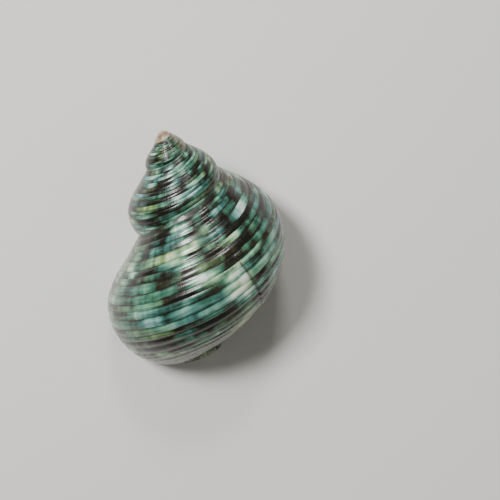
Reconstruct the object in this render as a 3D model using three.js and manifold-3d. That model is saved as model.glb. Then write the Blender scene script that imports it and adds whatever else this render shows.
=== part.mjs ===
// A turban shell lying on its opening: one coiled, hollow, thick-walled shell grown in one piece.
// Millimetres, +Z up. The rim of the opening rests on the plane Z = 0 and the apex points to +Y.
//
// The shell is described around its axis. `turn` is the angle of growth in radians, zero where
// the last whorl stops coiling and runs straight on to the lip. In the section at one turn, `r`
// is the distance from the axis and `z` is the distance from the apex along the axis.

import * as THREE from "three";
import { mergeVertices } from "three/addons/utils/BufferGeometryUtils.js";
import Module from "manifold-3d";

const { PI, abs, atan2, cos, exp, hypot, max, min, sin, sqrt } = Math;
const degrees = THREE.MathUtils.degToRad;
const FULL_TURN = 2 * PI;

// Growth per radian of turn, and how much slower the earliest whorls grew.
const RADIUS_GROWTH = 0.173;
const HEIGHT_GROWTH = 0.107;
const SIZE_GROWTH = 0.0825;
const EARLY_GROWTH = -0.0018;

// The centre of the tube at turn zero, and the outline of the tube about that centre.
const CENTRE_RADIUS = 9;
const CENTRE_HEIGHT = 51;
const HALF_WIDTH = 29.2;
const HALF_HEIGHT = 30.6;
const OUTLINE_POWER = 1.7;
const SHOULDER_SLANT = 0.375;
const OUTLINE_TILT = degrees(-1.5);

// The last part of the last whorl drops inward and down, away from the whorl before it.
const DROP_IN = 2.4;
const DROP_DOWN = 4;
const DROP_START = degrees(-102);
const DROP_LENGTH = degrees(110);

// The wall and its inner coat, and the pillar that the tube coils around.
const WALL = 2;
const PILLAR_RADIUS = 2.4;
const APEX_SIDE_BOW = 20;
const BASE_SIDE_BOW = 10;
const PILLAR_FOOT = 53;
const CORNER_ROUNDING = 9;

// The straight run to the lip: its direction and pace, and the thickness of the inner lip.
const RUN_ANGLE = degrees(112);
const RUN_PACE = 35;
const RUN_END = degrees(62);
const GROWTH_FADE = degrees(22);
const INNER_LIP = 4;

// How much thicker the base is than the inner lip, and where it thins down to the lip.
const BASE_FULLNESS = 8;
const THINNING_START = degrees(-40);
const THINNING_LENGTH = degrees(40);

// The slope of the axis above the plane that the shell rests on.
const AXIS_SLOPE = degrees(26.5);

// The part of the last whorl whose belly the shell may rest on.
const BELLY_START = degrees(-432);
const BELLY_END = degrees(-144);

// How many turns are built, how finely they are divided, and how many stretches are hollow.
const TURNS = 4.5;
const BLIND_END = degrees(40);
const STEPS_PER_TURN = 24;
const STRETCH_STEPS = 18;
const HOLLOW_STRETCHES = 3;
const RUN_STEPS = 5;
const OUTER_POINTS = 36;
const INNER_POINTS = 24;
const PILLAR_POINTS = 16;
const PILLAR_FOOT_STEPS = 4;
const FINEST_DETAIL = 0.02;
const BLIND_TIP = 0.01;
const REACH_PRECISION = 1e-5;
const WELDING = 1e-4;
const FLOOR_BLOCK = 8 * HALF_HEIGHT;

const SHELL_COLOUR = "#6f9c88";

// --- How the tube grows ---

function smoothstep(t) {
  const s = min(max(t, 0), 1);
  return s * s * (3 - 2 * s);
}

function grownTurn(turn) {
  return turn > 0 ? GROWTH_FADE * (1 - exp(-turn / GROWTH_FADE)) : turn;
}

function growth(rate, turn) {
  return exp(rate * grownTurn(turn) + EARLY_GROWTH * min(turn, 0) ** 2);
}

function tubeCentre(turn) {
  const drop = smoothstep((grownTurn(turn) - DROP_START) / DROP_LENGTH);
  return {
    r: (CENTRE_RADIUS - DROP_IN * drop) * growth(RADIUS_GROWTH, turn),
    z: (CENTRE_HEIGHT + DROP_DOWN * drop) * growth(HEIGHT_GROWTH, turn),
    size: growth(SIZE_GROWTH, turn),
  };
}

// From the tube's centre to its outline at full size: a pointed oval with a sloping shoulder.
function outlineReach(angle) {
  const across = abs(cos(angle) / HALF_WIDTH) ** OUTLINE_POWER;
  const along = abs(sin(angle) / HALF_HEIGHT) ** OUTLINE_POWER;
  const oval = (across + along) ** (-1 / OUTLINE_POWER);
  return oval * (1 + SHOULDER_SLANT * sin(angle) * cos(angle));
}

// How deep a point lies inside the tube's outer surface, measured along a line from its centre.
function depthInTube(turn, r, z) {
  const centre = tubeCentre(turn);
  const angle = atan2(z - centre.z, r - centre.r) - OUTLINE_TILT;
  return outlineReach(angle) * centre.size - hypot(r - centre.r, z - centre.z);
}

// --- Where a point of the section lies around the axis ---

// Above the axis, toward the lip's side, and along the axis.
function aroundAxis(turn, r, z) {
  const angle = RUN_ANGLE + min(turn, 0);
  const run = RUN_PACE * max(turn, 0);
  return {
    above: r * cos(angle) - run * sin(RUN_ANGLE),
    side: r * sin(angle) + run * cos(RUN_ANGLE),
    along: z,
  };
}

// --- The outside and the hollow, as fields that are negative inside ---

function roundedMax(a, b, rounding) {
  return (a + b + sqrt((a - b) ** 2 + rounding ** 2)) / 2;
}

function pillarRadius(turn) {
  return PILLAR_RADIUS * growth(HEIGHT_GROWTH, turn);
}

// The hollow bows toward the axis, so that the opening comes out round.
function pillarSide(turn, z) {
  const centre = tubeCentre(turn);
  const bow = z < centre.z ? APEX_SIDE_BOW : BASE_SIDE_BOW;
  const bent = ((z - centre.z) / (HALF_HEIGHT * centre.size)) ** 2;
  return pillarRadius(turn) + bow * centre.size * bent;
}

function hollowField(turn, r, z) {
  const { size } = tubeCentre(turn);
  const fromWall = WALL * size - depthInTube(turn, r, z);
  const fromPillar = pillarSide(turn, z) - r;
  return roundedMax(fromWall, fromPillar, CORNER_ROUNDING * size);
}

// The straight run is a lip around the hollow, thicker on the pillar's side.
function runField(turn, r, z) {
  const { size } = tubeCentre(turn);
  const thinned = smoothstep((turn - THINNING_START) / THINNING_LENGTH);
  const thickness = (INNER_LIP + BASE_FULLNESS * (1 - thinned)) * size;
  return max(-depthInTube(turn, r, z), hollowField(turn, r, z) - thickness);
}

// A coiling whorl reaches almost to the axis, and its base is rounded like the lip.
function whorlField(turn, r, z) {
  const onBase = z > tubeCentre(turn).z;
  const rounded = onBase ? runField(turn, r, z) : -depthInTube(turn, r, z);
  return max(rounded, pillarRadius(turn) / 3 - r);
}

// The closed line where a field changes sign, found along rays from the middle of the hollow.
function ring(turn, field, count) {
  const centre = tubeCentre(turn);
  const middleR = (centre.r + HALF_WIDTH * centre.size + pillarRadius(turn)) / 2;
  const middleZ = centre.z + (HALF_HEIGHT * centre.size) / 5;
  return Array.from({ length: count }, (_, i) => {
    const angle = (FULL_TURN * i) / count;
    const along = (reach) => [middleR + reach * cos(angle), middleZ + reach * sin(angle)];
    const reach = reachOf((distance) => field(turn, ...along(distance)));
    return resting(aroundAxis(turn, ...along(reach)));
  });
}

function reachOf(valueAt) {
  let inside = 0;
  let outside = 2 * HALF_HEIGHT;
  while (outside - inside > REACH_PRECISION) {
    const halfway = (inside + outside) / 2;
    if (valueAt(halfway) < 0) inside = halfway;
    else outside = halfway;
  }
  return inside;
}

// --- The resting position, with the apex still at the origin ---

function resting({ above, side, along }) {
  const back = sin(AXIS_SLOPE) * above + cos(AXIS_SLOPE) * along;
  const height = cos(AXIS_SLOPE) * above - sin(AXIS_SLOPE) * along;
  return new THREE.Vector3(-side, -back, height);
}

// --- Closed solids ---

function middleOf(points) {
  const share = 1 / points.length;
  return points.reduce((sum, point) => sum.addScaledVector(point, share), new THREE.Vector3());
}

// A skin over rings of equal count, closed at both ends by a fan about the ring's middle.
function skin(rings) {
  const count = rings[0].length;
  const vertices = [...rings.flat(), middleOf(rings[0]), middleOf(rings.at(-1))];
  const lastRow = (rings.length - 1) * count;
  const indices = [];
  for (let i = 0; i < count; i += 1) {
    const next = (i + 1) % count;
    for (let row = 0; row < lastRow; row += count) {
      indices.push(row + i, row + count + next, row + next);
      indices.push(row + i, row + count + i, row + count + next);
    }
    indices.push(vertices.length - 2, i, next);
    indices.push(vertices.length - 1, lastRow + next, lastRow + i);
  }
  const geometry = new THREE.BufferGeometry().setFromPoints(vertices);
  geometry.setIndex(indices);
  return geometry;
}

function turnsBetween(from, to, steps) {
  return Array.from({ length: steps + 1 }, (_, i) => from + ((to - from) * i) / steps);
}

const wasm = await Module();
wasm.setup();

function solidOf(geometry, weldingDistance = WELDING) {
  geometry.deleteAttribute("normal");
  geometry.deleteAttribute("uv");
  const merged = mergeVertices(geometry, weldingDistance);
  return new wasm.Manifold(new wasm.Mesh({
    numProp: 3,
    vertProperties: merged.attributes.position.array,
    triVerts: Uint32Array.from(merged.index.array),
  }));
}

// --- The shell ---

function tube(turns, field, count) {
  return solidOf(skin(turns.map((turn) => ring(turn, field, count))));
}

// The hollow of one stretch runs a step past both ends of it, or starts from a blind end.
function hollowTube(turns, startsBlind) {
  const step = turns[1] - turns[0];
  const start = turns[0];
  const reached = [...(startsBlind ? [] : [start - step]), ...turns, turns.at(-1) + step];
  const rings = reached.map((turn) => {
    const points = ring(turn, hollowField, INNER_POINTS);
    const middle = middleOf(points);
    const opened = startsBlind ? sqrt(min(max((turn - start) / BLIND_END, BLIND_TIP), 1)) : 1;
    return points.map((point) => point.lerp(middle, 1 - opened));
  });
  return solidOf(skin(rings));
}

// Stretches shorter than one turn, none of which crosses itself, from the apex to the lip.
function stretches() {
  const turns = turnsBetween(-FULL_TURN * TURNS, 0, TURNS * STEPS_PER_TURN);
  const list = [];
  for (let first = 0; first + 1 < turns.length; first += STRETCH_STEPS) {
    list.push({ turns: turns.slice(first, first + STRETCH_STEPS + 1), field: whorlField });
  }
  return [...list, { turns: turnsBetween(0, RUN_END, RUN_STEPS), field: runField }];
}

// Each stretch adds its wall, where no earlier whorl already stands.
function coil() {
  const all = stretches();
  const firstHollow = all.length - HOLLOW_STRETCHES;
  let shell = pillar();
  let earlier = null;
  all.forEach(({ turns, field }, i) => {
    const outer = tube(turns, field, OUTER_POINTS);
    const hollowed = i >= firstHollow ? outer.subtract(hollowTube(turns, i === firstHollow)) : outer;
    shell = shell.add(earlier ? hollowed.subtract(earlier) : hollowed);
    earlier = earlier ? earlier.add(outer) : outer;
  });
  return shell;
}

// A slender cone along the axis, with a round foot, that fills the middle of the coil.
function pillar() {
  const profile = [new THREE.Vector2(0, 0)];
  for (let i = 0; i <= PILLAR_FOOT_STEPS; i += 1) {
    const angle = (PI / 2) * (i / PILLAR_FOOT_STEPS);
    const radius = i < PILLAR_FOOT_STEPS ? PILLAR_RADIUS * cos(angle) : 0;
    profile.push(new THREE.Vector2(radius, PILLAR_FOOT - PILLAR_RADIUS * (1 - sin(angle))));
  }
  const geometry = new THREE.LatheGeometry(profile, PILLAR_POINTS);
  return solidOf(geometry.rotateX(PI + AXIS_SLOPE));
}

// How far the belly of the last whorl hangs below the apex.
function restingDepth() {
  const belly = turnsBetween(BELLY_START, BELLY_END, 2 * STEPS_PER_TURN)
    .flatMap((turn) => ring(turn, whorlField, 4 * OUTER_POINTS));
  return max(...belly.map((point) => -point.z));
}

// Everything below the plane that the shell rests on.
function underTheFloor(depth) {
  const geometry = new THREE.BoxGeometry(FLOOR_BLOCK, FLOOR_BLOCK, FLOOR_BLOCK);
  return solidOf(geometry.translate(0, -CENTRE_HEIGHT, -depth - FLOOR_BLOCK / 2));
}

// --- The mesh, standing at the middle of its own footprint ---

function geometryOf(solid) {
  const { vertProperties, triVerts } = solid.getMesh();
  const geometry = new THREE.BufferGeometry();
  geometry.setAttribute("position", new THREE.Float32BufferAttribute(vertProperties, 3));
  geometry.setIndex(Array.from(triVerts));
  return geometry;
}

// The shell without the slivers and pockets, thinner than a hair, that are left where whorls meet.
function cleaned(solid) {
  const bodies = solidOf(geometryOf(solid.simplify(FINEST_DETAIL)), FINEST_DETAIL / 2).decompose();
  return bodies.reduce((best, body) => (body.volume() > best.volume() ? body : best));
}

// Where surfaces touch along an edge, each is drawn back by a hair, and the next one by a hair more.
function parted(geometry) {
  geometry.computeVertexNormals();
  const { position, normal } = geometry.attributes;
  const visits = new Map();
  for (let i = 0; i < position.count; i += 1) {
    const point = new THREE.Vector3().fromBufferAttribute(position, i);
    const key = point.toArray().map((value) => Math.round(value / FINEST_DETAIL)).join();
    const visit = visits.get(key) ?? 0;
    visits.set(key, visit + 1);
    point.addScaledVector(new THREE.Vector3().fromBufferAttribute(normal, i), -visit * FINEST_DETAIL);
    position.setXYZ(i, ...point.toArray());
  }
  return geometry;
}

function shellMesh() {
  const depth = restingDepth();
  const cut = coil().subtract(underTheFloor(depth));
  const geometry = parted(geometryOf(cleaned(cleaned(cleaned(cut)))));
  geometry.computeBoundingBox();
  const middle = geometry.boundingBox.getCenter(new THREE.Vector3());
  geometry.translate(-middle.x, -middle.y, depth);
  geometry.computeVertexNormals();
  const material = new THREE.MeshStandardMaterial({ color: SHELL_COLOUR, roughness: 0.25, metalness: 0 });
  const mesh = new THREE.Mesh(geometry, material);
  mesh.name = "shell";
  return mesh;
}

const turbanShell = new THREE.Group();
turbanShell.name = "turban_shell";
turbanShell.add(shellMesh());

export default turbanShell;
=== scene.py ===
# %% [markdown]
# # A polished turban shell
# A turban shell is one tube of shell material. The snail coils it round a straight axis and lets
# it widen as it grows, so the whole outside is one surface over two parameters: how far the tube
# has turned, and where a point lies on the tube's outline. This lesson builds that surface with
# numpy, bends its end into a rounded lip, and gives it a banded, glossy finish that follows the
# growth.

import bpy
import numpy as np
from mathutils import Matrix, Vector


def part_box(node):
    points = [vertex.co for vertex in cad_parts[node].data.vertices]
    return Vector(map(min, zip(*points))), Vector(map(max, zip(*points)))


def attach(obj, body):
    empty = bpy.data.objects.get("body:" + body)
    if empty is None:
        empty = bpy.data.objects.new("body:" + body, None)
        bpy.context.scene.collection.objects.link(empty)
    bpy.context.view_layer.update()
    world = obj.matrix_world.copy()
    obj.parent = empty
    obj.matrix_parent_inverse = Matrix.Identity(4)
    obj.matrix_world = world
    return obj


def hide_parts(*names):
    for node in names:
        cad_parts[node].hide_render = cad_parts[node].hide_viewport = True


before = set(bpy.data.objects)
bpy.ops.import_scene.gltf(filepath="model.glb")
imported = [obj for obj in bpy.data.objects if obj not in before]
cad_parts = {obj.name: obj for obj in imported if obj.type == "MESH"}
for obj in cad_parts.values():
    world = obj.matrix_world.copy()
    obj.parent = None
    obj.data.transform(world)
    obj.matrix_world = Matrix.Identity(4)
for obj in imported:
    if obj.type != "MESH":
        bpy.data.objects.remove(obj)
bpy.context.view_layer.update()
MM_PER_METRE = 1000
shell_low, shell_high = (np.array(corner) * MM_PER_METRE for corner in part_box("shell"))
print(list(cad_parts), "with a box, mm, of", np.round(shell_high - shell_low, 1))

# %% [markdown]
# ## How the tube grows
# Radius, height and width each grow by a steady share per turn, which is what makes every whorl
# look like the last one, only larger. The numbers below are millimetres and radians, and they are
# the same ones that the solid model is built from. Turn zero is where coiling stops: after it the
# tube runs straight on to its lip, so that the opening comes out round.

# %% Growth
RADIUS_GROWTH, HEIGHT_GROWTH, SIZE_GROWTH, EARLY_GROWTH = 0.173, 0.107, 0.0825, -0.0018
CENTRE_RADIUS, CENTRE_HEIGHT = 9.0, 51.0
HALF_WIDTH, HALF_HEIGHT = 29.2, 30.6
OUTLINE_POWER, SHOULDER_SLANT, OUTLINE_TILT = 1.7, 0.375, np.radians(-1.5)
DROP_IN, DROP_DOWN = 2.4, 4.0
DROP_START, DROP_LENGTH = np.radians(-102), np.radians(110)
GROWTH_FADE = np.radians(22)
FULL_TURN = 2 * np.pi
TURNS = 4.5


def smoothstep(t):
    """Rises from 0 to 1 with level ends: three t squared minus two t cubed, clamped."""
    t = np.clip(t, 0, 1)
    return t * t * (3 - 2 * t)


def grown_turn(turn):
    """The turn itself while the tube coils; past zero it fades towards GROWTH_FADE."""
    fading = GROWTH_FADE * (1 - np.exp(-np.maximum(turn, 0) / GROWTH_FADE))
    return np.where(turn > 0, fading, turn)


def growth(rate, turn):
    """The exponential of rate times turn, a little less for the earliest whorls."""
    return np.exp(rate * grown_turn(turn) + EARLY_GROWTH * np.minimum(turn, 0) ** 2)


def tube_centre(turn):
    """Distance from the axis, distance from the apex along the axis, and size of the tube."""
    drop = smoothstep((grown_turn(turn) - DROP_START) / DROP_LENGTH)
    r = (CENTRE_RADIUS - DROP_IN * drop) * growth(RADIUS_GROWTH, turn)
    z = (CENTRE_HEIGHT + DROP_DOWN * drop) * growth(HEIGHT_GROWTH, turn)
    return r, z, growth(SIZE_GROWTH, turn)


def depth_in_tube(turn, r, z):
    """Reach of a slanted superellipse in the point's direction, minus the point's distance."""
    centre_r, centre_z, size = tube_centre(turn)
    angle = np.arctan2(z - centre_z, r - centre_r) - OUTLINE_TILT
    across = np.abs(np.cos(angle) / HALF_WIDTH) ** OUTLINE_POWER
    along = np.abs(np.sin(angle) / HALF_HEIGHT) ** OUTLINE_POWER
    reach = (across + along) ** (-1 / OUTLINE_POWER)
    reach = reach * (1 + SHOULDER_SLANT * np.sin(angle) * np.cos(angle))
    return reach * size - np.hypot(r - centre_r, z - centre_z)


print("the tube's size one turn back:", round(float(growth(SIZE_GROWTH, -FULL_TURN)), 3))

# %% [markdown]
# ## Outside and hollow
# The outside and the hollow are fields: numbers that are negative inside and positive outside.
# They could be drawn as curves, but a field is easier to round and to join, and the outline is
# then found by walking out along rays until the sign changes.

# %% Fields
WALL, INNER_LIP, CORNER_ROUNDING = 2.0, 4.0, 9.0
BASE_FULLNESS, THINNING_START, THINNING_LENGTH = 8.0, np.radians(-40), np.radians(40)
PILLAR_RADIUS, APEX_SIDE_BOW, BASE_SIDE_BOW = 2.4, 20.0, 10.0


def pillar_side(turn, z):
    """The hollow's side next to the axis: the pillar's radius plus a bow that grows as a square."""
    _, centre_z, size = tube_centre(turn)
    bow = np.where(z < centre_z, APEX_SIDE_BOW, BASE_SIDE_BOW)
    bent = ((z - centre_z) / (HALF_HEIGHT * size)) ** 2
    return PILLAR_RADIUS * growth(HEIGHT_GROWTH, turn) + bow * size * bent


def hollow_field(turn, r, z):
    """The rounded maximum of how far a point is past the wall and past the pillar."""
    size = growth(SIZE_GROWTH, turn)
    past_wall = WALL * size - depth_in_tube(turn, r, z)
    past_pillar = pillar_side(turn, z) - r
    rounding = CORNER_ROUNDING * size
    return (past_wall + past_pillar + np.hypot(past_wall - past_pillar, rounding)) / 2


def outside_field(turn, r, z):
    """The tube's outline, kept to a set distance from the hollow on its base and at the lip."""
    own = -depth_in_tube(turn, r, z)
    _, centre_z, size = tube_centre(turn)
    thinned = smoothstep((turn - THINNING_START) / THINNING_LENGTH)
    thickness = (INNER_LIP + BASE_FULLNESS * (1 - thinned)) * size
    drawn_in = np.maximum(own, hollow_field(turn, r, z) - thickness)
    rounded = (z > centre_z) | (turn > 0)
    return np.maximum(np.where(rounded, drawn_in, own), np.where(turn > 0, own, -r))


print("at turn zero the hollow starts", WALL, "mm in from the outline, or more")

# %% [markdown]
# ## From a section to the shell as it lies
# A section point lies on a half plane that swings round the axis. The shell then lies on its
# opening, with the axis sloping up towards the apex. Turning a finished object would do the same,
# but a piece has to stand in the frame unturned, so each point is worked out where it lies. The
# tip of an old shell is worn blunt, which a hyperbola along the axis gives.

# %% Placing sections
RUN_ANGLE, RUN_PACE = np.radians(112), 35.0
AXIS_SLOPE = np.radians(26.5)
TIP_WEAR = 0.7


def around_axis(turn, r):
    """Above and beside the axis: polar angle RUN_ANGLE plus turn, then straight on past zero."""
    angle = RUN_ANGLE + np.minimum(turn, 0)
    run = RUN_PACE * np.maximum(turn, 0)
    return r * np.cos(angle) - run * np.sin(RUN_ANGLE), r * np.sin(angle) + run * np.cos(RUN_ANGLE)


def lying(turn, r, z):
    """The point turned so that the axis slopes by AXIS_SLOPE, the tip blunted as a hyperbola."""
    above, side = around_axis(turn, r)
    along = np.hypot(z, TIP_WEAR)
    back = np.sin(AXIS_SLOPE) * above + np.cos(AXIS_SLOPE) * along
    height = np.cos(AXIS_SLOPE) * above - np.sin(AXIS_SLOPE) * along
    return np.stack(np.broadcast_arrays(-side, -back, height), axis=-1)


print("the axis slopes up by", round(float(np.degrees(AXIS_SLOPE)), 1), "degrees")

# %% [markdown]
# ## Finding the surface along rays
# Each whorl is built against the one before it, so part of its tube would lie inside that whorl.
# Cutting the solids apart would leave slivers. Here each ray simply stops a little under the
# earlier whorl's skin, or just above it in the hollow, where the animal lays a thin coat over it.

# %% Rays
HIDDEN_DEPTH, INNER_COAT = 1.2, -0.5
FARTHEST, HALVINGS = 2 * HALF_HEIGHT, 26


def depth_in_earlier_whorl(turn, r, z):
    """Depth in the whorl one turn back, at the point's own distance and angle round the axis."""
    above, side = around_axis(turn, r)
    past_run = np.arctan2(side, above) - RUN_ANGLE
    earlier = np.where(turn > 0, past_run, turn) - FULL_TURN
    return depth_in_tube(earlier, np.hypot(above, side), z)


def ray_start(turn):
    """The middle of the hollow, from which every ray of a section starts."""
    centre_r, centre_z, size = tube_centre(turn)
    pillar = PILLAR_RADIUS * growth(HEIGHT_GROWTH, turn)
    past_centre = HALF_HEIGHT * size / 5
    return (centre_r + HALF_WIDTH * size + pillar) / 2, centre_z + past_centre


def along_ray(turn, angle, reach):
    """The section point at a distance along a ray."""
    start_r, start_z = ray_start(turn)
    return start_r + reach * np.cos(angle), start_z + reach * np.sin(angle)


def edge_reach(field, turn, angle, farthest):
    """Where a field turns positive on each ray, found by halving the stretch again and again."""
    near = np.zeros(np.broadcast(turn, angle).shape)
    far = near + farthest
    for _ in range(HALVINGS):
        middle = (near + far) / 2
        inside = field(turn, *along_ray(turn, angle, middle)) < 0
        near, far = np.where(inside, middle, near), np.where(inside, far, middle)
    return near


def trimmed_reach(field, kept_depth, turn, angle):
    """The field's reach, cut short where it goes deeper than kept_depth into the earlier whorl."""
    own = edge_reach(field, turn, angle, FARTHEST)
    depth_limit = kept_depth * growth(SIZE_GROWTH, turn)

    def too_deep(turn, r, z):
        return depth_in_earlier_whorl(turn, r, z) - depth_limit

    buried = too_deep(turn, *along_ray(turn, angle, own)) > 0
    buried &= np.broadcast_to(turn > (1 - TURNS) * FULL_TURN, buried.shape)
    return np.where(buried, edge_reach(too_deep, turn, angle, own), own)


def outside_reach(turn, angle):
    """How far the outside is along each ray."""
    return trimmed_reach(outside_field, HIDDEN_DEPTH, turn, angle)


def hollow_reach(turn, angle):
    """How far the hollow's surface is along each ray."""
    return trimmed_reach(hollow_field, INNER_COAT, turn, angle)


# %% The belly that the shell rests on
BELLY_START, BELLY_END = np.radians(-432), np.radians(-144)
BELLY_ROWS, BELLY_RAY_STEP = 60, 2.0

belly_turns = np.linspace(BELLY_START, BELLY_END, BELLY_ROWS)[:, None]
belly_rays = np.radians(np.arange(0, 360, BELLY_RAY_STEP))[None, :]
belly_reach = edge_reach(outside_field, belly_turns, belly_rays, FARTHEST)
belly = lying(belly_turns, *along_ray(belly_turns, belly_rays, belly_reach))
RESTING_DEPTH = -belly[..., 2].min()
print("the apex stands", round(float(RESTING_DEPTH), 2), "mm above the belly")

# %% [markdown]
# ## Ribs across, rows along
# Low rounded ribs run round the shell with the growth. Bump in the material would leave the
# outline smooth, so the ribs are cut into the surface itself, six columns to a rib. The columns
# are closer where the surface shows, and wider where the next whorl hides it.

# %% Columns
RIBS, COLUMNS_PER_RIB, HIDDEN_COLUMNS = 38, 6, 20
SUTURE_RAY, NAVEL_RAY = np.radians(-119), np.radians(143)
RIB_UNEVENNESS, RIB_BEAT = 0.16, 1.7
MEASURED_TURN, FINE_RAYS = np.radians(-75), 1441

fine_rays = np.linspace(SUTURE_RAY, SUTURE_RAY + FULL_TURN, FINE_RAYS)
fine_reach = edge_reach(outside_field, MEASURED_TURN, fine_rays, FARTHEST)
outline = np.stack(along_ray(MEASURED_TURN, fine_rays, fine_reach), axis=-1)
arc = np.concatenate([[0], np.cumsum(np.linalg.norm(np.diff(outline, axis=0), axis=1))])
shown_arc = np.interp(NAVEL_RAY, fine_rays, arc)
rib_width = shown_arc / RIBS
print(round(float(shown_arc)), "mm of the outline's", round(float(arc[-1])), "mm show")

# %% Uneven ribs, and columns in them
rib_place = np.arange(RIBS * COLUMNS_PER_RIB + 1) / COLUMNS_PER_RIB
end_shift = rib_place / RIBS * np.sin(RIB_BEAT * RIBS)
uneven = RIB_UNEVENNESS * (np.sin(RIB_BEAT * rib_place) - end_shift)
hidden = np.arange(1, HIDDEN_COLUMNS) / HIDDEN_COLUMNS
hidden_arc = shown_arc + hidden * (arc[-1] - shown_arc)
column_arc = np.concatenate([rib_width * (rib_place + uneven), hidden_arc])
column_rib = np.concatenate([rib_place, RIBS + hidden])
rays = np.interp(column_arc, arc, fine_rays)
COLUMNS = len(rays)
print(COLUMNS, "columns, ribs", round(float(rib_width), 2), "mm wide")

# %% [markdown]
# ## Rows to a lip that lies flat
# The last rows fan out: each column runs on until it reaches the plane that the shell rests on, so
# that the rim is level whichever way the tube meets it. The outside and the hollow are joined by a
# rounded rim, and the hollow ends in a blind, rounded end one and a half turns back.

# %% Rows
FAN_START = np.radians(-78)
RUN_END = np.radians(80)
BLIND_TURN, BLIND_LENGTH = -1.5 * FULL_TURN, np.radians(40)
RIM_HEIGHT, LIP_HALVINGS = 1.3, 18


def height_over_floor(reach_of, turn):
    """The height of each column's point over the plane that the belly touches."""
    return lying(turn, *along_ray(turn, rays, reach_of(turn, rays)))[..., 2] + RESTING_DEPTH


def turn_at_height(reach_of, height):
    """The turn at which each column has come down to a height, found by halving."""
    early, late = np.full(COLUMNS, FAN_START), np.full(COLUMNS, RUN_END)
    for _ in range(LIP_HALVINGS):
        middle = (early + late) / 2
        above = height_over_floor(reach_of, middle) > height
        early, late = np.where(above, middle, early), np.where(above, late, middle)
    return early


def fan(reach_of, rows):
    """Turns from FAN_START to the top of the rim, evenly shared out in each column."""
    share = np.linspace(0, 1, rows)[:, None]
    return FAN_START + share * (turn_at_height(reach_of, RIM_HEIGHT) - FAN_START)[None, :]


def straight_rows(turns):
    """The same turn in every column of a row."""
    return turns[:, None] + np.zeros((1, COLUMNS))


# %% Rows of the outside and of the hollow
EARLY_ROWS, LATE_ROWS, BREAK_ROWS, HOLLOW_ROWS = 115, 137, 28, 51
OUTSIDE_FAN_ROWS, HOLLOW_FAN_ROWS = 40, 16
BREAK_FIRST, BREAK_LAST = np.radians(-150), np.radians(-124)

early_turns = np.linspace(-TURNS * FULL_TURN, -2 * FULL_TURN, EARLY_ROWS, endpoint=False)
late_turns = np.linspace(-2 * FULL_TURN, FAN_START, LATE_ROWS, endpoint=False)
break_turns = np.linspace(BREAK_FIRST, BREAK_LAST, BREAK_ROWS)
coil_turns = straight_rows(np.sort(np.concatenate([early_turns, late_turns, break_turns])))
outside_turns = np.concatenate([coil_turns, fan(outside_reach, OUTSIDE_FAN_ROWS)])
hollow_coil = straight_rows(np.linspace(BLIND_TURN, FAN_START, HOLLOW_ROWS, endpoint=False))
hollow_turns = np.concatenate([hollow_coil, fan(hollow_reach, HOLLOW_FAN_ROWS)])
print(len(outside_turns), "rows outside,", len(hollow_turns), "in the hollow")

# %% [markdown]
# ## Relief
# Grooves part the ribs. Across them run the marks of growth: a chip in the old lip that healed and
# left a step, and faint folds where the snail rested before building on. A displacement modifier
# could do it from a texture, but here the relief is known exactly, so it goes into the reach.

# %% Relief
GROOVE_DEPTH = 0.32
BREAK_TURN, BREAK_LEAN, BREAK_RIB = np.radians(-137.5), np.radians(-1.15), 19.5
BREAK_START, BREAK_STEP, BREAK_RECOVERY = 14.8, 0.55, np.radians(14)
BREAK_EDGE = np.radians(1.2)
FOLD_DEPTH, FOLD_PACE = 0.1, 11.0


def groove(rib):
    """The square of a raised cosine: 1 in the groove between two ribs and 0 along their tops."""
    return (0.5 + 0.5 * np.cos(FULL_TURN * rib)) ** 2


def break_line(rib):
    """The turn at which the lip once broke off: a straight lean over the rib number."""
    return BREAK_TURN + BREAK_LEAN * (rib - BREAK_RIB)


def after_break(turn, rib):
    """0 before the break and on the ribs it spared; then from 1 down to 0 as new shell fills out."""
    after = turn - break_line(rib)
    stepped = smoothstep(after / BREAK_EDGE) * np.exp(-np.maximum(after, 0) / BREAK_RECOVERY)
    return stepped * smoothstep(rib - BREAK_START)


def relief(turn, rib):
    """How far the outside is drawn in: grooves, healed step and the cube of a wavering sine."""
    folds = (0.5 + 0.5 * np.sin(FOLD_PACE * turn + np.sin(3 * FOLD_PACE * turn))) ** 3
    drawn_in = GROOVE_DEPTH * groove(rib) + BREAK_STEP * after_break(turn, rib) + FOLD_DEPTH * folds
    return drawn_in * growth(SIZE_GROWTH, turn)


# %% Outside and hollow as grids of points
NUCLEUS_LENGTH, SMALLEST_SHARE = np.radians(150), 1e-3


def rounded_end(points, turns, first, length):
    """Rings drawn in near their first turn: the root of one minus the way left squared, a circle."""
    middle = points.mean(axis=1, keepdims=True)
    left = np.clip(1 - (turns - first) / length, 0, 1)
    share = np.sqrt(np.maximum(1 - left**2, SMALLEST_SHARE))
    return middle + (points - middle) * share[..., None]


ribbed_reach = outside_reach(outside_turns, rays) - relief(outside_turns, column_rib)
outside_r_z = along_ray(outside_turns, rays, ribbed_reach)
outside_points = lying(outside_turns, *outside_r_z)
outside_points = rounded_end(outside_points, outside_turns, outside_turns[0, 0], NUCLEUS_LENGTH)
hollow_r_z = along_ray(hollow_turns, rays, hollow_reach(hollow_turns, rays))
hollow_points = lying(hollow_turns, *hollow_r_z)
hollow_points = rounded_end(hollow_points, hollow_turns, BLIND_TURN, BLIND_LENGTH)
print("the spire starts", round(float(np.ptp(outside_points[0], axis=0).max()), 2), "mm wide")

# %% [markdown]
# ## The rounded rim
# The lip of a grown shell is thick and smooth. A Bevel modifier could round it, but its width would
# have to suit every column, so the rim is a half ellipse instead: it runs from the outside to the
# hollow in each column and touches the floor.

# %% Rim
RIM_ROWS = 11


def surface_at_height(reach_of, height):
    """The ring of points where a surface has come down to a height over the floor."""
    turn = turn_at_height(reach_of, height)
    return lying(turn, *along_ray(turn, rays, reach_of(turn, rays)))


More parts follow.
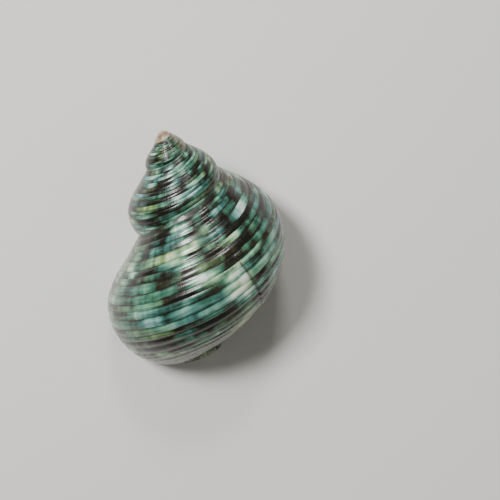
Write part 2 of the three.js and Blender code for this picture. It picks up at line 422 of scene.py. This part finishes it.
def rim_ring(share):
    """A point of a half ellipse from the outside, share 0, over the edge to the hollow, share 1."""
    height = RIM_HEIGHT * (1 - np.sin(np.pi * share))
    across = (1 - np.cos(np.pi * share)) / 2
    outer = surface_at_height(outside_reach, height)
    inner = surface_at_height(hollow_reach, height)
    return outer + across * (inner - outer)


rim_shares = np.linspace(0, 1, RIM_ROWS + 2)[1:-1]
rim_points = np.stack([rim_ring(share) for share in rim_shares])
grid = np.concatenate([outside_points, rim_points, hollow_points[::-1]])
ROWS = len(grid)
print("grid", grid.shape, "box, mm:", np.round(np.ptp(grid, axis=(0, 1)), 1))

# %% [markdown]
# ## Standing in the frame
# So far the apex is at the origin. The frame's box says where the shell stands: centred from side
# to side, with its base at the box's near end and its belly on the floor.

# %% Moving it there
grid_low, grid_high = grid.min(axis=(0, 1)), grid.max(axis=(0, 1))
sideways = (shell_low + shell_high - grid_low - grid_high)[0] / 2
lengthways = (shell_low - grid_low)[1]
apex_place = np.array([sideways, lengthways, RESTING_DEPTH])
grid = grid + apex_place
print("the apex stands at", np.round(apex_place, 2), "mm")

# %% [markdown]
# ## Coordinates that follow the growth
# The colours of such a shell are laid down at the lip while it grows, rib by rib, so the pattern
# must run along the ribs. A UV map holds it: U is the length grown, in rib widths, and V is the rib
# number. A few attributes say where the surface is worn, healed or pearly, and where shade is
# painted into the seams.

# %% Growth coordinates
fan_end = turn_at_height(outside_reach, RIM_HEIGHT)
rim_turns = np.broadcast_to(fan_end, (len(rim_points), COLUMNS))
grid_turns = np.concatenate([outside_turns, rim_turns, hollow_turns[::-1]])
grid_ribs = np.broadcast_to(column_rib, grid_turns.shape)

PACE_STEPS = 600
pace_turns = np.linspace(-TURNS * FULL_TURN, RUN_END, PACE_STEPS)
pace_r, _, pace_size = tube_centre(pace_turns)
pace = (pace_r / pace_size + HALF_WIDTH) / rib_width * np.sqrt(pace_size)
length_grown = np.cumsum(pace) * (pace_turns[1] - pace_turns[0])
grid_length = np.interp(grid_turns, pace_turns, length_grown)
print("length grown:", round(float(length_grown[-1])), "rib widths")

# %% [markdown]
# ## Where the finish changes
# The inside is mother of pearl, shade is painted into the crease where two whorls meet, the tip is
# worn down to a tan layer, and the base and the last growth are paler. Painting them by hand on a
# mesh of this size would be slow and would not follow the growth, so each is a curve over turn and
# rib.

# %% Pearl, painted seam shade and wear
SEAM_SHADE_WIDTH = 0.9
APEX_WEAR_TURN, APEX_WEAR_LENGTH = np.radians(-850), np.radians(110)

row_inside = np.concatenate([np.zeros(len(outside_turns)), rim_shares, np.ones(len(hollow_turns))])
pearl = np.broadcast_to(smoothstep(row_inside * 2)[:, None], grid_turns.shape)
banded_part = 1 - pearl
outside_size = growth(SIZE_GROWTH, outside_turns)
outside_depth = depth_in_earlier_whorl(outside_turns, *outside_r_z) / outside_size
# Painted shade: strongest in the crease where a whorl meets the one before it, fading away from it.
seam_shade = np.zeros(grid_turns.shape)
seam_shade[:len(outside_turns)] = np.exp(-np.abs(outside_depth) / SEAM_SHADE_WIDTH)
wear = smoothstep((APEX_WEAR_TURN - grid_turns) / APEX_WEAR_LENGTH)
print("pearly vertices:", int((pearl > 0.5).sum()), "of", pearl.size)

# %% Healed break, base and last growth
EDGE_OFFSET, EDGE_SPREAD = np.radians(0.4), np.radians(0.9)
BASE_RIB, BASE_RIBS = 21, 6
LAST_GROWTH_TURN, LAST_GROWTH_LENGTH = np.radians(-62), np.radians(40)

healed = after_break(grid_turns, grid_ribs) * banded_part
off_edge = (grid_turns - break_line(grid_ribs) - EDGE_OFFSET) / EDGE_SPREAD
break_edge = np.exp(-off_edge**2) * smoothstep(grid_ribs - BREAK_START) * banded_part
base = smoothstep((grid_ribs - BASE_RIB) / BASE_RIBS) * banded_part
old_lip = smoothstep((grid_turns - LAST_GROWTH_TURN) / LAST_GROWTH_LENGTH) * banded_part
print("the break crosses", int(RIBS - BREAK_START), "ribs")


# %% Blotches
def mark(turn_degrees, rib, turn_spread, rib_spread):
    """A soft round blotch: a bell curve over turn and rib."""
    turns_off = (np.degrees(grid_turns) - turn_degrees) / turn_spread
    return np.exp(-(turns_off**2) - ((grid_ribs - rib) / rib_spread) ** 2)


# Each is a turn in degrees, a rib, and how far it spreads over both.
DARK_MARKS = [(-60, 13.2, 3, 0.9), (-62, 15.8, 2.5, 0.8), (-84, 9.2, 1.5, 1.3),
              (-67, 10.3, 1.5, 1.2), (-75, 11.8, 1.5, 1.1), (-140, 11.5, 4, 0.8),
              (-150, 13.5, 4, 0.7), (-108, 20.6, 3, 0.5)]
dark = sum(mark(*place) for place in DARK_MARKS) * banded_part
# Pale blotches: partly the shell's light mint colour and partly a painted highlight where the polish
# catches the light.
PALE_AND_HIGHLIGHT_MARKS = [(-114, 15.5, 10, 0.7), (-126, 17.4, 9, 0.75), (-129, 18.9, 8, 0.7),
              (-89, 11.6, 9, 0.7), (-132, 20.6, 5, 0.7), (-98, 8.7, 8, 0.6), (-104, 13.4, 7, 0.6)]
pale_and_highlight = sum(mark(*place) for place in PALE_AND_HIGHLIGHT_MARKS) * banded_part
ATTRIBUTES = {"pearl": pearl, "seam_shade": seam_shade, "wear": wear, "healed": healed, "base": base,
              "old_lip": old_lip, "dark": dark, "pale_and_highlight": pale_and_highlight, "break_edge": break_edge}
print("attributes:", ", ".join(ATTRIBUTES))


# %% [markdown]
# ## One closed mesh
# Neighbouring rows and columns make four-sided faces, the ring of columns closes on itself, and a
# fan closes each end, at the apex and at the blind end of the hollow.

# %% Faces
def grid_faces(rows, columns):
    """The vertex numbers of each face's corners; the last column is beside the first."""
    row, column = np.meshgrid(np.arange(rows - 1), np.arange(columns), indexing="ij")
    following = (column + 1) % columns
    corners = [row * columns + column, row * columns + following,
               (row + 1) * columns + following, (row + 1) * columns + column]
    return np.stack(corners, axis=-1).reshape(-1, 4)


def end_faces(first_vertex, centre, columns, flipped):
    """Triangles between a ring, which starts at a vertex, and a centre vertex."""
    column = first_vertex + np.arange(columns)
    following = first_vertex + (np.arange(columns) + 1) % columns
    sides = [column, following] if flipped else [following, column]
    return np.stack([*sides, np.full(columns, centre)], axis=-1)


end_centres = [grid[0].mean(axis=0), grid[-1].mean(axis=0)]
points = np.concatenate([grid.reshape(-1, 3), end_centres]) / MM_PER_METRE
quads = grid_faces(ROWS, COLUMNS)
apex_end = end_faces(0, len(points) - 2, COLUMNS, False)
blind_end = end_faces((ROWS - 1) * COLUMNS, len(points) - 1, COLUMNS, True)
triangles = np.concatenate([quads[:, [0, 1, 2]], quads[:, [0, 2, 3]], apex_end, blind_end])
print(len(triangles), "triangles")


# %% Mesh into Blender
CUBIC_CM_PER_CUBIC_METRE = 1e6


def signed_volume(corner_points):
    """A sixth of the sum of each triangle's triple product: positive when faces point outwards."""
    a, b, c = (corner_points[:, i] for i in range(3))
    return np.einsum("ij,ij->i", a, np.cross(b, c)).sum() / 6


faces = quads.tolist() + apex_end.tolist() + blind_end.tolist()
volume = signed_volume(points[triangles])
if volume < 0:
    faces = [face[::-1] for face in faces]
mesh = bpy.data.meshes.new("turban_shell")
mesh.from_pydata(points.tolist(), [], faces)
mesh.polygons.foreach_set("use_smooth", np.ones(len(faces), dtype=bool))
print("the mesh encloses", round(abs(volume) * CUBIC_CM_PER_CUBIC_METRE, 1), "cubic cm")

# %% UV map and attributes
corner_vertex = np.empty(len(mesh.loops), dtype=np.int32)
mesh.loops.foreach_get("vertex_index", corner_vertex)
vertex_u = np.append(grid_length.ravel(), [grid_length[0, 0], grid_length[-1, 0]])
vertex_v = np.append(grid_ribs.ravel(), [0, 0])
corner_uv = np.stack([vertex_u[corner_vertex], vertex_v[corner_vertex]], axis=-1)
mesh.uv_layers.new(name="growth").data.foreach_set("uv", corner_uv.ravel())
for name, values in ATTRIBUTES.items():
    attribute = mesh.attributes.new(name, "FLOAT", "POINT")
    attribute.data.foreach_set("value", np.append(values.ravel(), [values[0, 0], values[-1, 0]]))
mesh.update()

shell = bpy.data.objects.new("turban_shell", mesh)
bpy.context.scene.collection.objects.link(shell)
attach(shell, "root")
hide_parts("shell")
print("the shell has", len(mesh.vertices), "vertices")

# %% [markdown]
# ## The banded, polished finish
# Each rib carries its own run of light and dark dashes, so the noise that makes them is read at a
# different place for every rib, and stretched along the growth. Green, blue-green and olive drift
# slowly over the whole shell, and the attributes lay the worn tip, the painted shade in the seams,
# the pale new growth and the khaki base over it. The polish is a clear coat.

# %% Material helpers
finish = bpy.data.materials.new("banded_shell")
finish.use_nodes = True
nodes, links = finish.node_tree.nodes, finish.node_tree.links
nodes.clear()


def linear(hex_colour):
    """A hex colour as the linear red, green, blue and alpha that a shader takes."""
    channels = np.array([int(hex_colour[i:i + 2], 16) for i in (1, 3, 5)]) / 255
    curved = np.where(channels > 0.04045, ((channels + 0.055) / 1.055) ** 2.4, channels / 12.92)
    return (*curved, 1.0)


def feed(socket, value):
    """Links a socket to another socket, or sets its value."""
    if isinstance(value, bpy.types.NodeSocket):
        links.new(value, socket)
    else:
        socket.default_value = value


def calculate(operation, *values):
    """A Math node's result."""
    node = nodes.new("ShaderNodeMath")
    node.operation = operation
    for socket, value in zip(node.inputs, values):
        feed(socket, value)
    return node.outputs[0]


def combined(x, y, z=0.0):
    """A vector from three numbers."""
    node = nodes.new("ShaderNodeCombineXYZ")
    for socket, value in zip(node.inputs, (x, y, z)):
        feed(socket, value)
    return node.outputs[0]


def noise(vector, scale=1.0, detail=2.0, roughness=0.5):
    """Smooth random values around one half."""
    node = nodes.new("ShaderNodeTexNoise")
    settings = {"Vector": vector, "Scale": scale, "Detail": detail, "Roughness": roughness}
    for name, value in settings.items():
        feed(node.inputs[name], value)
    return node.outputs["Fac"]


def ramp(value, *stops):
    """Colours or greys at stated places along a value."""
    node = nodes.new("ShaderNodeValToRGB")
    elements = node.color_ramp.elements
    while len(elements) < len(stops):
        elements.new(0.5)
    for element, (place, colour) in zip(elements, stops):
        element.position = place
        element.color = linear(colour) if isinstance(colour, str) else (colour, colour, colour, 1)
    feed(node.inputs[0], value)
    return node.outputs[0]


def blend(share, first, second):
    """The first colour mixed with the second by a share."""
    node = nodes.new("ShaderNodeMix")
    node.data_type = "RGBA"
    feed(node.inputs["Factor"], share)
    colour_inputs = [socket for socket in node.inputs if socket.type == "RGBA"]
    for socket, value in zip(colour_inputs, (first, second)):
        feed(socket, linear(value) if isinstance(value, str) else value)
    return next(socket for socket in node.outputs if socket.type == "RGBA")


def shifted(value, base, weight):
    """A base value plus the weight times how far a random value is from one half."""
    return calculate("MULTIPLY_ADD", calculate("SUBTRACT", value, 0.5), weight, base)


def surface_value(name):
    """One of the shell's attributes."""
    node = nodes.new("ShaderNodeAttribute")
    node.attribute_name = name
    return node.outputs["Fac"]


# %% Dashes along the ribs
growth_map = nodes.new("ShaderNodeUVMap")
growth_map.uv_map = "growth"
growth_parts = nodes.new("ShaderNodeSeparateXYZ")
links.new(growth_map.outputs[0], growth_parts.inputs[0])
length, rib = growth_parts.outputs[0], growth_parts.outputs[1]
place = nodes.new("ShaderNodeTexCoord").outputs["Object"]

wander = calculate("MULTIPLY_ADD", noise(place, 160, 2), 0.24, -0.12)
wavy_rib = calculate("ADD", rib, wander)
rib_number = calculate("FLOOR", wavy_rib)
on_rib = calculate("SUBTRACT", wavy_rib, rib_number)
half_rib = calculate("FLOOR", calculate("MULTIPLY", wavy_rib, 2.0))


def along_rib(length_scale, across, across_scale, seed):
    """A place in a noise: length grown, a place across the ribs, and a seed, each scaled."""
    return combined(calculate("MULTIPLY", length, length_scale),
                    calculate("MULTIPLY", across, across_scale), seed)


dash = noise(along_rib(0.2, rib_number, 7.3, 0.0), 1, 3, 0.55)
thread = noise(along_rib(0.22, half_rib, 5.9, 40.0), 1, 2)
streak = noise(along_rib(0.3, wavy_rib, 3.2, 9.0), 1, 3)
grain = noise(place, 1500, 3, 0.6)
off_middle = calculate("ABSOLUTE", calculate("MULTIPLY_ADD", on_rib, 2.0, -1.0))
groove_shade = calculate("POWER", off_middle, 5.0)
print("dashes, threads and streaks take", len(nodes), "nodes")

# %% One tone, from dark to light
tone = calculate("MULTIPLY_ADD", dash, 2.2, -0.68)
tone = shifted(thread, tone, 0.55)
tone = shifted(streak, tone, 0.5)
tone = shifted(grain, tone, 0.16)
# Painted shade: the tone is pulled darker down in the grooves between the ribs.
tone = calculate("MULTIPLY_ADD", groove_shade, -0.24, tone)
tone = calculate("MULTIPLY_ADD", surface_value("dark"), -0.24, tone)
# Pale blotches lighten the tone: light shell colour with a painted highlight on top.
tone = calculate("MULTIPLY_ADD", surface_value("pale_and_highlight"), 0.45, tone)
tone = calculate("MULTIPLY_ADD", surface_value("healed"), 0.12, tone)

green_bands = ramp(tone, (0.20, "#14150f"), (0.31, "#2f2e1c"), (0.36, "#24493c"), (0.47, "#3d6c58"),
                   (0.59, "#5a8f74"), (0.70, "#86b594"), (0.81, "#b3d4b8"), (0.94, "#e3efdf"))
olive_bands = ramp(tone, (0.20, "#18150d"), (0.33, "#3c371e"), (0.42, "#505d31"), (0.56, "#6c8449"),
                   (0.70, "#92a968"), (0.84, "#bccb97"), (0.96, "#e3e8c6"))
blue_bands = ramp(tone, (0.20, "#12160f"), (0.34, "#25413a"), (0.48, "#3a6862"), (0.62, "#5f938c"),
                  (0.76, "#94b9b3"), (0.92, "#d3e4dc"))
print("with the tone and its bands,", len(nodes))

# %% [markdown]
# ## Drifting colour and the marks of use
# The snail's food changes the pigment as it grows, so hue drifts from green to olive and to blue.
# The khaki base, the cream last growth, the painted shade in the seams, the worn tip and the pearl
# are laid over it one after another, from the widest to the strongest.

# %% Hue, and what lies over it
drift = noise(along_rib(0.1, rib_number, 2.3, 77.0), 1, 2)
to_olive = ramp(drift, (0.53, 0.0), (0.66, 0.8))
to_blue = ramp(drift, (0.38, 0.9), (0.50, 0.0))
banded = blend(to_blue, blend(to_olive, green_bands, olive_bands), blue_bands)
khaki = ramp(shifted(streak, tone, 1.2), (0.24, "#241e12"), (0.40, "#4a4828"), (0.56, "#5f6a3c"),
             (0.76, "#7f8c58"), (0.96, "#b5bd8c"))
cream = ramp(tone, (0.26, "#3f4a33"), (0.42, "#6b8062"), (0.62, "#93a886"), (0.90, "#cdd3b4"))
worn = ramp(noise(place, 420, 2), (0.32, "#8d7558"), (0.46, "#b5a184"), (0.64, "#cfc3ac"))
pearly = ramp(noise(place, 130, 2), (0.35, "#cfd8cf"), (0.5, "#e6e2d6"), (0.65, "#e9d6cf"))

# The painted seam shade, broken into patches by noise.
patchy = ramp(noise(place, 500, 3), (0.35, 0.25), (0.6, 1.0))
seam_shade_share = calculate("MULTIPLY", surface_value("seam_shade"), patchy)
colour = blend(calculate("MULTIPLY", surface_value("base"), 0.9), banded, khaki)
colour = blend(calculate("MULTIPLY", surface_value("old_lip"), 0.75), colour, cream)
# Painted shade: a dark brown laid into the seams between whorls.
colour = blend(calculate("MULTIPLY", seam_shade_share, 0.95), colour, "#2a2114")
colour = blend(calculate("MULTIPLY", surface_value("break_edge"), 0.85), colour, "#2b261b")
colour = blend(surface_value("wear"), colour, worn)
colour = blend(surface_value("pearl"), colour, pearly)
print("with the whole base colour,", len(nodes))

# %% [markdown]
# ## Polish
# A polished shell is smooth under a clear film. A mirror finish would look like plastic, so the
# roughness wavers, the seams, where shade is painted, stay dull, and very fine growth lines break
# up the highlights.

# %% Polish
shader = nodes.new("ShaderNodeBsdfPrincipled")
output = nodes.new("ShaderNodeOutputMaterial")
links.new(shader.outputs[0], output.inputs[0])
feed(shader.inputs["Base Color"], colour)
shine = calculate("MULTIPLY_ADD", noise(place, 700, 3), 0.24, 0.16)
feed(shader.inputs["Roughness"], calculate("MULTIPLY_ADD", surface_value("seam_shade"), 0.2, shine))
shader.inputs["Coat Weight"].default_value = 0.25
shader.inputs["Coat Roughness"].default_value = 0.07
shader.inputs["Specular IOR Level"].default_value = 0.42

growth_lines = noise(along_rib(5.0, wavy_rib, 0.7, 5.0), 1, 4)
height = calculate("MULTIPLY_ADD", grain, 0.35, growth_lines)
bump = nodes.new("ShaderNodeBump")
bump.inputs["Strength"].default_value = 0.165
bump.inputs["Distance"].default_value = 0.00025
feed(bump.inputs["Height"], height)
links.new(bump.outputs[0], shader.inputs["Normal"])
mesh.materials.append(finish)
print("finish has", len(nodes), "nodes")

# %% [markdown]
# ## Camera
# The camera looks straight down on the shell from 37 cm over the floor, turned a little about its
# own line of sight. Its place is given from the apex, so it would follow if the shell moved.

# %% Camera
CAMERA_FROM_APEX, CAMERA_HEIGHT = np.array([14.7, -43.4]), 372.3
CAMERA_TURN, VIEW_ANGLE = np.radians(-17.44), np.radians(25.6085)

camera_data = bpy.data.cameras.new("camera")
camera_data.sensor_fit, camera_data.angle = "HORIZONTAL", VIEW_ANGLE
camera_data.clip_start = 0.01
camera = bpy.data.objects.new("camera", camera_data)
camera_place = np.append(apex_place[:2] + CAMERA_FROM_APEX, CAMERA_HEIGHT)
camera.location = camera_place / MM_PER_METRE
camera.rotation_euler = (0, 0, CAMERA_TURN)
bpy.context.scene.collection.objects.link(camera)
bpy.context.scene.camera = camera
print("camera at", np.round(camera.location, 4))

# %% [markdown]
# ## Floor and light
# The floor is plain and pale. One large soft light high on the far left gives long highlights along
# the ribs, a smaller one sharpens them, and a wide weak one and a dim sky keep the shadows open.

# %% Floor
FLOOR_HALF = 3.0
floor_mesh = bpy.data.meshes.new("floor")
floor_corners = [(-FLOOR_HALF, -FLOOR_HALF, 0), (FLOOR_HALF, -FLOOR_HALF, 0),
                 (FLOOR_HALF, FLOOR_HALF, 0), (-FLOOR_HALF, FLOOR_HALF, 0)]
floor_mesh.from_pydata(floor_corners, [], [(0, 1, 2, 3)])
floor = bpy.data.objects.new("floor", floor_mesh)
bpy.context.scene.collection.objects.link(floor)
paper = bpy.data.materials.new("pale_paper")
paper.use_nodes = True
paper.node_tree.nodes["Principled BSDF"].inputs["Base Color"].default_value = linear("#e9e7e3")
paper.node_tree.nodes["Principled BSDF"].inputs["Roughness"].default_value = 0.8
floor_mesh.materials.append(paper)
print("floor", 2 * FLOOR_HALF, "m wide")

# %% Lights
LIT_POINT = (0.0, 0.0, 0.02)


def soft_light(name, place, size, watts):
    """A square area light at a place, in metres, aimed at the shell's middle."""
    data = bpy.data.lights.new(name, "AREA")
    data.size, data.energy = size, watts
    lamp = bpy.data.objects.new(name, data)
    lamp.location = place
    lamp.rotation_euler = (Vector(LIT_POINT) - Vector(place)).to_track_quat("-Z", "Y").to_euler()
    bpy.context.scene.collection.objects.link(lamp)


soft_light("key", (-0.26, 0.34, 0.80), 0.22, 9)
soft_light("window", (0.20, 0.55, 0.60), 0.15, 2)
soft_light("fill", (0.6, -0.5, 0.6), 0.8, 0.8)
world = bpy.data.worlds.new("studio")
world.use_nodes = True
world.node_tree.nodes["Background"].inputs["Color"].default_value = linear("#efece4")
world.node_tree.nodes["Background"].inputs["Strength"].default_value = 0.16
bpy.context.scene.world = world
print("lights:", len(bpy.data.lights))
